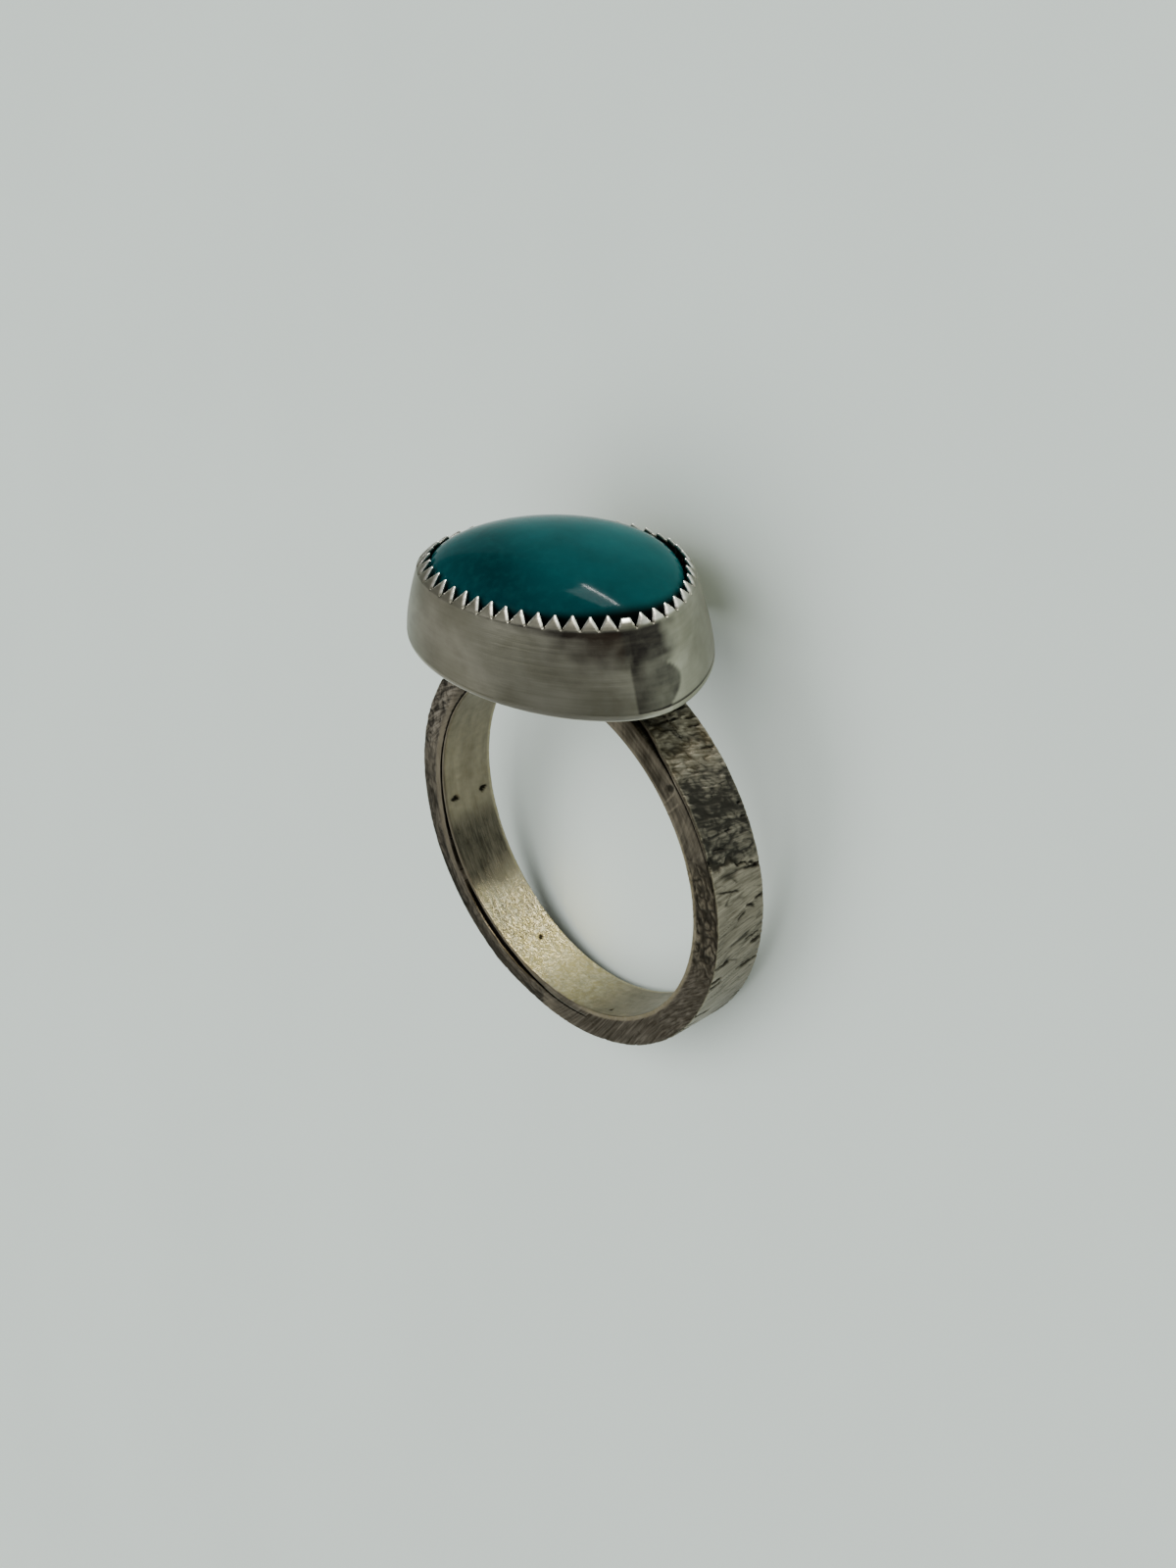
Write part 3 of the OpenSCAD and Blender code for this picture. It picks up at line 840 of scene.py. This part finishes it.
# The ragged edge where the outer layer ends: place along the finger, direction, half width
LAP_END = ((-1.6, 20.0, 0.16), (-1.2, 19.4, 0.24), (-0.85, 18.6, 0.1), (-0.6, 18.6, 0.06),
           (-0.35, 18.9, 0.2), (0, 18.0, 0.1), (0.3, 16.8, 0.05), (0.8, 15.4, 0.03),
           (1.6, 14.4, 0.05))
# Marks on the near side face, a hammer mark, a brown pit and a dark spot: direction, height over
# the finger hole, reach in degrees and in mm, depth, and how brown. Then the two scratches beside
# the dark spot, by direction.
MARKS = ((223, 1.52, 1.6, 0.2, 0.1, 0.2), (186, 1.07, 1.2, 0.1, 0.05, 0.9),
         (41.5, 1.05, 1.3, 0.34, 0.05, 0.5))
SCRATCHES = (36.3, 39.2)
# Pits inside the finger hole, two of them crossed: direction, place along the finger, length,
# width and turn
PITS = ((189, 0.9, 0.3, 0.14, 0.15), (189.3, 0.86, 0.22, 0.13, 1.4),
        (188.5, -0.98, 0.32, 0.14, -0.1), (188.2, -0.92, 0.22, 0.14, 1.8),
        (288, -1, 0.12, 0.12, 0), (244, 0.3, 0.24, 0.13, 0.7))


def from_right(direction):
    """The same direction, counted from -100 to 260."""
    return direction - 360 if direction > 260 else direction


def crease(value, width):
    """1 along the lines where a noise crosses zero, falling to 0 beside them."""
    return max(0, 1 - abs(value) / width)


def swept_place(turn, height):
    """Along and across strokes that sweep up round a side face like the sides of a bowl."""
    lean = math.atan(0.028 * (turn + 42))
    run = arc(turn, MIDDLE_R)
    return (run * math.cos(lean) + height * math.sin(lean),
            (height - 0.00242 * (turn + 42) ** 2) * math.cos(lean))


def outer_place(turn, y):
    """Along and across the hammered ridges of the outer face."""
    slant = between(SLANT, (turn + 25) % 360 - 25)[0]
    return y, arc(turn, OUTER_R) - slant * y


def slit_depth(direction, y, slits):
    """How deep the slits cut at a place on the outer face, and how dark they make it."""
    depth, dark = 0, 0
    for at, start, end, half, deep, lean in slits:
        share = (y - start) / (end - start)
        if -0.15 < share < 1.15:
            ragged = 0.05 * rippled(y * 4, at, 1)
            half *= 1.1 + 1.1 * abs(rippled(y * 3, at, 2))
            off = abs(arc(direction - at - lean * share, OUTER_R) + ragged)
            ends = band(-0.12, 0.08, 0.7, 1.12, share)
            if off < 2.2 * half:
                cut = max(0, 1 - off / (1.2 * half))
                depth = max(depth, deep * ends * cut)
                dark = max(dark, ends * (1 - off / (2.2 * half)) ** 0.45)
    return depth, dark


def random_slits():
    """Slits like the ones in view, for the part of the shank that faces away."""
    chance = random.Random(23)
    made = []
    for _ in range(FAR_SLITS):
        at = chance.uniform(66, 334)
        side = chance.choice((1, -1))
        start = side * chance.choice((1.6, 1.6, 1.6, 0.9))
        end = start - side * chance.uniform(0.5, 1.7)
        made.append((at, start, end, chance.uniform(0.03, 0.07), chance.uniform(0.06, 0.14),
                     chance.uniform(-1.5, 1.5)))
    return made


def lap_end(direction, y):
    """Where the outer layer ends: how far a place is onto that layer, and the torn gap there."""
    edge, half = between(LAP_END, y)
    edge += 0.9 * rippled(y * 2.6, 3, 14) + 0.4 * rippled(y * 7, 5, 14)
    half *= 1.1 + 1.4 * abs(rippled(y * 3.5, 1, 9))
    off = abs(arc(direction - edge, OUTER_R))
    return eased(edge - 0.3, edge + 1.2, direction), max(0, 1 - off / (1.5 * half))


def outer_face(direction, y, slits):
    """How far the outer face lies below its full radius, with its wear."""
    along, across = outer_place(from_right(direction), y)
    across += 0.2 * rippled(across * 0.8, along * 0.9, 10)
    # a bark of ridges that lie across the strip, with broken creases between them
    ridge = layered(across, along, ((0.6, 1.6, 0.45, 11), (0.4, 3.8, 0.9, 12)))
    broken = eased(-0.15, 0.2, rippled(across * 0.9, along * 1.1, 20))
    lines = max(broken * crease(rippled(across * 1.4, along * 0.4, 13), 0.07),
                0.6 * (1 - broken) * crease(rippled(across * 2.7, along * 0.8, 19), 0.1))
    # the faces are larger at the back, where a fine crease would break up
    lines *= 1 - 0.75 * (62 < direction < 335)
    depth = 0.03 - 0.035 * ridge + 0.04 * lines
    tarnish_and_shade = 0.3 - 0.3 * ridge + 0.5 * lines
    stain = 0.35
    if 12 < direction < 140:
        on_lap, torn = lap_end(direction, y)
        blotch = layered(across, along, ((0.5, 0.9, 0.7, 15), (0.5, 2.3, 1.5, 16),
                                         (0.35, 5, 3.2, 17), (0.2, 9, 8, 24)))
        crumple = rippled(across * 2.6 + 0.5 * along, along * 1.9 - 0.6 * across, 40)
        crumple = crease(crumple, 0.2)
        patina = between(PATINA, direction)[0] + 0.5 * blotch + 0.35 * lines + 0.28 * crumple
        tarnish_and_shade += on_lap * (patina - tarnish_and_shade)
        depth += on_lap * (0.045 * blotch + 0.03 * crumple)
        brown = band(40, 46, 56, 60, direction)
        warm = 0.45 + 0.9 * rippled(across * 1.8, along * 1.8, 18)
        stain += on_lap * (brown * warm - 0.25 * (1 - brown))
        depth += 0.15 * torn
        tarnish_and_shade = max(tarnish_and_shade, 1.15 * torn ** 0.5)
    cut, dark = slit_depth(direction, y, slits)
    tarnish_and_shade = min(0.86, tarnish_and_shade)
    if dark >= 0.1:
        tarnish_and_shade = max(tarnish_and_shade, dark)
    return max(0, depth) + cut, (tarnish_and_shade, stain, 0.6, 0)


def side_face(direction, height, near):
    """How far a side face is cut in at a height above the finger hole, with its wear. The near
    side keeps its filed strokes, smooth places and dents."""
    turn = from_right(direction)
    run = arc(turn, MIDDLE_R)
    side = 0 if near else 40
    along, across = swept_place(turn, height)
    stroke = layered(along, across, ((0.4, 1.1, 4.5, 21 + side), (0.6, 2.1, 9, 22 + side)))
    swept, rough, bark = 1, 0, 0
    if near:
        # wrinkles like bark: next to the setting on the left, and low on the right
        rough = eased(120, 140, turn) * (1 - 0.6 * eased(160, 178, turn))
        rough *= eased(0.35, 0.75, height)
        bark = 1.1 * band(-22, -6, 16, 24, turn)
        swept = band(-98, -80, 14, 27, turn) * (1 - 0.85 * min(1, bark))
    wave = rippled(run * 1.3, height * 2, 28) * 0.5
    large = rippled(run * 1.3 + height + wave, height * 2.2 - run * 0.8, 26)
    small = rippled(run * 2.7 + height * 2 + wave, height * 3.6 - run * 1.3, 27)
    wrinkle = max(crease(large, 0.22), 0.6 * crease(small, 0.2))
    lump = (0.7 * rippled(run * 1.7 + height, height * 2, 29)
            + 0.3 * rippled(run * 4 + height * 2, height * 4, 30))
    # smooth elsewhere, with faint streaks along the strip
    streak = layered(run, height, ((0.6, 0.5, 5, 23), (0.5, 1.6, 9, 24)))
    soft = rippled(run * 0.9, height * 1.1, 25)
    plain = (1 - swept) * (1 - rough)
    depth = (0.03 + 0.022 * swept * stroke + (rough + bark) * (0.045 * wrinkle - 0.03 * lump)
             + 0.01 * soft + 0.006 * plain * streak)
    tarnish_and_shade = (0.08 + swept * (0.45 - 0.2 * stroke) + 0.04 * rough - 0.05 * bark
               + (rough + bark) * (0.7 * wrinkle - 0.4 * lump)
               + plain * (0.27 + 0.4 * streak + 0.2 * soft))
    stain = 0.3 + 0.7 * swept
    polish = 0.8 * plain + 0.3 * (rough + bark) + 0.25 * swept
    bright = 0
    if near and turn > 120:
        # a pale rubbed strip beside the left seam, a darker edge outside, and painted shadow low on
        # the left
        low, wide, _ = between(LEFT_SEAM, direction)
        rubbed = eased(140, 165, turn) * band(-0.02, 0.03, 0.32, 0.5, height - low - wide)
        rubbed *= 1 - 0.6 * eased(200, 225, turn)
        tarnish_and_shade = (tarnish_and_shade + 0.2 * eased(165, 195, turn)) * (1 - 0.6 * rubbed)
        tarnish_and_shade += 0.12 * eased(0.9, 1.5, height) + 0.14 * eased(205, 235, turn)
        polish = max(polish, rubbed)
        stain = 0.25 + 0.2 * rubbed
        # the inner layer's edge is rubbed pale beside the seam, with a painted highlight
        rim = 1 - eased(low - 0.04, low, height)
        tarnish_and_shade *= 1 - 0.5 * rim
        bright = 0.1 * rim
    elif near:
        # the inner layer's edge is rubbed pale along the finger hole, with a painted highlight
        rim = (1 - eased(0.16, 0.28, height + 0.05 * soft)) * eased(-92, -78, turn)
        tarnish_and_shade *= 1 - 0.9 * rim
        polish = max(polish, rim)
        bright = 0.2 * rim
    if near:
        # brown next to the setting on the right
        warm = band(26, 50, 90, 100, turn)
        stain = max(stain, 0.7 * warm)
        tarnish_and_shade += 0.2 * warm * (1 + soft)
        for at, high, wide, tall, deep, brown in MARKS:
            mark = max(0, 1 - ((turn - at) / wide) ** 2 - ((height - high) / tall) ** 2)
            depth += deep * mark
            tarnish_and_shade = max(tarnish_and_shade, 0.85 * mark ** 0.5)
            stain = max(stain, brown * mark)
        for at in SCRATCHES:
            line = crease(turn - at - 1.4 * (height - 0.6), 0.45) * (1 - eased(1.0, 1.2, height))
            depth -= 0.025 * line
            tarnish_and_shade -= 0.5 * line
            bright = max(bright, 0.5 * line)
    return depth, (min(0.8, tarnish_and_shade), stain, polish, bright)


def inner_face(direction, y):
    """How far the inside of the strip is worn, with its wear: warm and smooth, painted dark in one
    place as a dark reflection, and below painted golden as a highlight over grainy metal."""
    run = arc((direction - 90) % 360, FINGER_R)
    down = -0.004 + 0.004 * rippled(run * 0.5, y * 0.7, 31)
    # a painted highlight: warm gold low in the hole, lightest in its middle
    golden = (eased(217, 229, direction + 3 * rippled(run, y * 1.5, 34))
              * (1 - eased(262, 290, direction)))
    beaten = rippled(run * 2.6, y * 2.6, 32) + 0.6 * crease(rippled(run * 2.2, y * 2.2, 35), 0.12)
    down += 0.007 * golden * beaten
    streak = layered(run, y, ((0.6, 0.35, 2.2, 33), (0.5, 0.9, 5, 36)))
    # a painted dark reflection: a dark band on the left
    shade = eased(191, 201, direction) * (1 - eased(212, 222, direction + 1.5 * y))
    mottle = layered(run, y, ((0.6, 2.2, 2.2, 38), (0.5, 4.5, 4.5, 39)))
    tarnish_and_shade = 0.32 + 0.36 * shade - 0.36 * golden + 0.1 * eased(255, 275, direction)
    tarnish_and_shade += (0.15 * streak + (0.14 + 0.2 * golden) * mottle) * (1 - shade)
    bright = golden * (0.7 + 0.3 * band(232, 240, 250, 262, direction) + 0.4 * streak)
    # the far edge is rubbed pale, with a painted highlight
    rim = eased(1.3, 1.48, y)
    tarnish_and_shade *= 1 - 0.8 * rim
    bright = max(bright, 0.35 * rim)
    # a hairline crack on the left
    crack = crease(y + 0.25 - 0.06 * rippled(run * 3, 1, 37), 0.07)
    crack *= band(163, 167, 178, 184, direction)
    tarnish_and_shade = max(tarnish_and_shade, 0.6 * crack)
    down -= 0.012 * crack
    for at, where, long, wide, lean in PITS:
        off = arc(direction - at, FINGER_R)
        across = off * math.cos(lean) + (y - where) * math.sin(lean)
        along = (y - where) * math.cos(lean) - off * math.sin(lean)
        pit = max(0, 1 - (along / long) ** 2 - (across / wide) ** 2)
        down -= 0.07 * pit
        tarnish_and_shade = max(tarnish_and_shade, min(0.95, 2.4 * pit))
    rough = golden * (1 - eased(238, 256, direction))
    polish = 1 - 0.3 * max(golden, shade) - 0.3 * rough
    return down, (tarnish_and_shade, 0.8 - 0.45 * shade, polish, bright)


def seam_cut(direction, height):
    """How deep the seams cut into a side face at a height above the finger hole."""
    deepest = 0
    for seam in (LEFT_SEAM, RIGHT_SEAM):
        low, wide, deep = between(seam, direction)
        inside = min(height - low, low + wide - height) / wide
        deepest = max(deepest, deep * between(SEAM_WALL, inside)[0])
    return deepest


def side_height(share, direction, full, near):
    """Spreads the rows of a side face so that both seams keep rows of their own, with rows close
    together on their steep walls."""
    knots = [(0, INNER_EDGE)]
    for seam, rows in zip((LEFT_SEAM, RIGHT_SEAM), SEAM_ROWS[near]):
        low, wide, _ = between(seam, direction)
        knots += [(row / SIDE_ROWS[near], low + wide * part)
                  for row, part in zip(rows, SEAM_PARTS)]
    return between(knots + [(1, full - OUTER_EDGE)], share)[0]


def strip_ring(bm, reach):
    """A plain strip bent to a ring, with faces small enough to be hammered. Each point keeps
    its first distance from the middle in reach."""
    half = SHANK_W / 2
    corners = bmesh.ops.create_circle(bm, cap_ends=True, segments=4, radius=1)["verts"]
    section = ((FINGER_R, -half), (PLAIN_R, -half), (PLAIN_R, half), (FINGER_R, half))
    for v, (r, y) in zip(corners, section):
        v.co = (r, y, 0)
    inner = [v for v in corners if v.co.x < PLAIN_R - 0.1]
    outer = [v for v in corners if v.co.x > PLAIN_R - 0.1]
    for verts, size in ((inner, INNER_EDGE), (outer, OUTER_EDGE)):
        bmesh.ops.bevel(bm, geom=verts, affect="VERTICES", offset=size, segments=2,
                        profile=0.5, material=-1)
    for e in list(bm.edges):
        a, b = e.verts[0].co, e.verts[1].co
        if (a - b).length > 1:
            rows = SIDE_ROWS[a.y < 0]
            if abs(a.x - b.x) < 0.01:
                rows = OUTER_ROWS if a.x > MIDDLE_R else INNER_ROWS
            bmesh.ops.subdivide_edges(bm, edges=[e], cuts=rows - 1)
    bmesh.ops.delete(bm, geom=list(bm.faces), context="FACES_ONLY")
    for v in bm.verts:
        v[reach] = v.co.x
    bmesh.ops.spin(bm, geom=list(bm.verts) + list(bm.edges), cent=(0, 0, 0), axis=(0, 1, 0),
                   angle=2 * math.pi, steps=COLUMNS[-1][0] // STEP_COLUMNS, use_merge=True,
                   use_duplicate=False)
    rounds = [e for e in bm.edges if abs(e.verts[0][reach] - e.verts[1][reach]) < 0.0001
              and abs(e.verts[0].co.y - e.verts[1].co.y) < 0.0001]
    bmesh.ops.subdivide_edges(bm, edges=rounds, cuts=STEP_COLUMNS - 1, use_grid_fill=True)


def hammered(direction, r, y, slits):
    """Where a point of the plain strip lands: its height over the finger hole, how far it is
    pressed down, its place along the finger, and its wear."""
    half, near = SHANK_W / 2, y < 0
    full = between(OUTSIDE, direction)[0] - FINGER_R
    top = min(1, max(0, (r - PLAIN_R + OUTER_EDGE) / OUTER_EDGE))
    edge = OUTER_EDGE if r > PLAIN_R - OUTER_EDGE - 0.001 else INNER_EDGE
    side = max(0, (abs(y) - half + edge) / edge)
    share = (r - FINGER_R - INNER_EDGE) / (SHANK_T - INNER_EDGE - OUTER_EDGE)
    height = r - FINGER_R
    if share > 0:
        height += full - SHANK_T
    if 0 <= share <= 1 and side > 0.5:
        height = side_height(share, direction, full, near)
    down, new_y, state = 0, y, (0.05, 0.3, 1, 0.2)
    if side > 0:
        cut, state = side_face(direction, height, near)
        gap = seam_cut(direction, height)
        new_y -= math.copysign(side * (cut + gap), y)
        if near and 28 < direction < 90 and side > 0.5 and height < 1.5:
            # painted shade: the inner layer's ledge, where the outer layer stands back, is brown
            # and dark
            ledge = eased(38, 58, direction) * eased(0.85, 1.25, height)
            state = (max(state[0], 0.8 * ledge), max(state[1], ledge), state[2], 0)
        if gap > 0:
            # painted shade: the seam's groove is black, but a little brown on the inner layer's
            # ledge and low on the left
            ledge = eased(34, 46, direction) * (1 - eased(1.38, 1.42, height)) * (direction < 90)
            low_left = band(196, 204, 210, 221, direction)
            black = max(state[0], min(1, 0.75 + 5 * gap))
            state = (min(black, 1 - 0.16 * ledge - 0.32 * low_left), 0.8, 0, 0)
    low, wide, _ = between(RIGHT_SEAM, direction)
    if near and height > max(0.5, low + 0.4 * wide):
        new_y += between(SET_BACK, direction)[0] * (1 - (y + half) / SHANK_W)
    if top > 0:
        cut, worn = outer_face(direction, y, slits)
        down = cut * top
        state = [a + (b - a) * top for a, b in zip(state, worn)]
        if 0 < top < 1 or side > 0:
            # the corner is rubbed where it stands proud, with a painted highlight
            state[0] *= 0.8
            state[3] = max(state[3], 0.15)
    if r < FINGER_R + 0.02 and side < 1:
        down, state = inner_face(direction, y)
    return height, down, new_y, state


def stroke_place(zone, turn, height, y):
    """Where a point lies along and across the strokes of its face, in mm."""
    if zone == "outer":
        return outer_place(turn, y)
    if zone == "inner":
        return arc(turn, FINGER_R), y
    if zone == "left":
        # next to the setting the strokes slant inwards
        return arc(turn, MIDDLE_R), height + 0.55 * max(0, arc(168 - turn, MIDDLE_R))
    return swept_place(turn, height)


def give_strokes(bm, reach, spots):
    """Lays the pattern of strokes on each face of the strip. It starts again under the setting
    inside the hole, and at the lower left elsewhere."""
    layer = bm.loops.layers.uv["strokes"]
    for face in bm.faces:
        r = sum(v[reach] for v in face.verts) / len(face.verts)
        direction, _, y = spots[face.verts[0]]
        zone = "inner" if r < FINGER_R + 0.03 else "outer" if r > PLAIN_R - 0.04 else "side"
        start = 90 if zone == "inner" else -100
        home = (direction - start) % 360 + start
        if zone == "side" and y < 0 and home > 100:
            zone = "left"
        for loop in face.loops:
            direction, height, y = spots[loop.vert]
            turn = home + (direction - home + 180) % 360 - 180
            loop[layer].uv = stroke_place(zone, turn, height, y)


def shank():
    """A strip of silver bent round so that its ends lap. Its side faces show the open seam
    between the layers, and its outer face is hammered like bark."""
    bm = blank_mesh("strokes")
    reach = bm.verts.layers.float.new("reach")
    strip_ring(bm, reach)
    slits = {}
    for slit in list(SLITS) + random_slits():
        for whole in range(int(slit[0]) - 4, int(slit[0]) + 5):
            slits.setdefault(whole, []).append(slit)
    columns = COLUMNS[-1][0]
    spots, wear = {}, {}
    for v in bm.verts:
        column = round(math.atan2(v.co.z, v.co.x) / (2 * math.pi) * columns) % columns
        direction = between(COLUMNS, column)[0]
        nearby = slits.get(int(direction), ())
        height, down, y, state = hammered(direction, v[reach], v.co.y, nearby)
        spots[v] = direction, height, y
        radius = FINGER_R + height - down
        v.co = (radius * cosine(direction), y, radius * sine(direction))
        # solder fills the narrow wedge between the strip and the back plate
        wedge = FOOT_Z + 0.02 - v.co.z
        if v[reach] > PLAIN_R - OUTER_EDGE and 70 < direction < 110 and wedge > 0:
            v.co.z += wedge * (1 - eased(0.10, 0.34, wedge))
            solder = 1 - eased(0.2, 0.5, wedge)
            state = (state[0] * (1 - solder) + 0.3 * solder, *list(state)[1:])
        wear[v] = state
    give_strokes(bm, reach, spots)
    give_wear(bm, wear)
    return bm


# The scene


def floor_card():
    """A card that the ring lies on."""
    bm = bmesh.new()
    bmesh.ops.create_grid(bm, x_segments=8, y_segments=8, size=4)
    bmesh.ops.translate(bm, verts=bm.verts, vec=(0, 0, cad_box[0][2]))
    return made_object(bm, "floor", pale_floor())


photo_camera()

silver = satin_silver()
finished(shank(), "shank", "silver_mount", hammered_silver())
finished(back_plate(), "back_plate", "silver_mount", silver)
finished(bezel_wall(), "bezel_wall", "silver_mount", silver)
finished(cabochon(), "turquoise_stone", "turquoise_cabochon", polished_turquoise())

floor = floor_card()

world = bpy.data.worlds.new("studio")
world.use_nodes = True
background = world.node_tree.nodes["Background"].inputs
feed(world.node_tree, background, {"Color": "#CBCECC", "Strength": 0.40})
bpy.context.scene.world = world
soft_light("overhead_fill", (-0.1, -0.05, 1), 2.25, 4, 4, 110, "#FFFFFF", shows="as fill")
soft_light("overhead_panel", (-0.27, 0.3, 0.92), 0.3, 0.12, 0.12, 0.08, "#FFFFFF", shows="in gloss")
soft_light("left_panel", (-0.75, -0.45, 0.5), 0.35, 0.3, 0.3, 0.12, "#FFFDF6", shows="in gloss")
soft_light("window_panel", (0.0, 0.98, 0.15), 0.32, 0.13, 0.06, 0.4, "#FFFDF8", shows="in gloss")
soft_light("window_sill", (0.0, 1, 0.035), 0.32, 0.14, 0.007, 0.85, "#FFFDF8", shows="in gloss")

# a small warm glow low inside the finger hole
low_left = LAY_DOWN @ (FINGER_R * MM * Vector((cosine(241), 0, sine(241))))
snooted_light("band_lamp", (0.42, 0.62, 0.66), 0.3, low_left, 0.03, 9, "#FFF7E2")
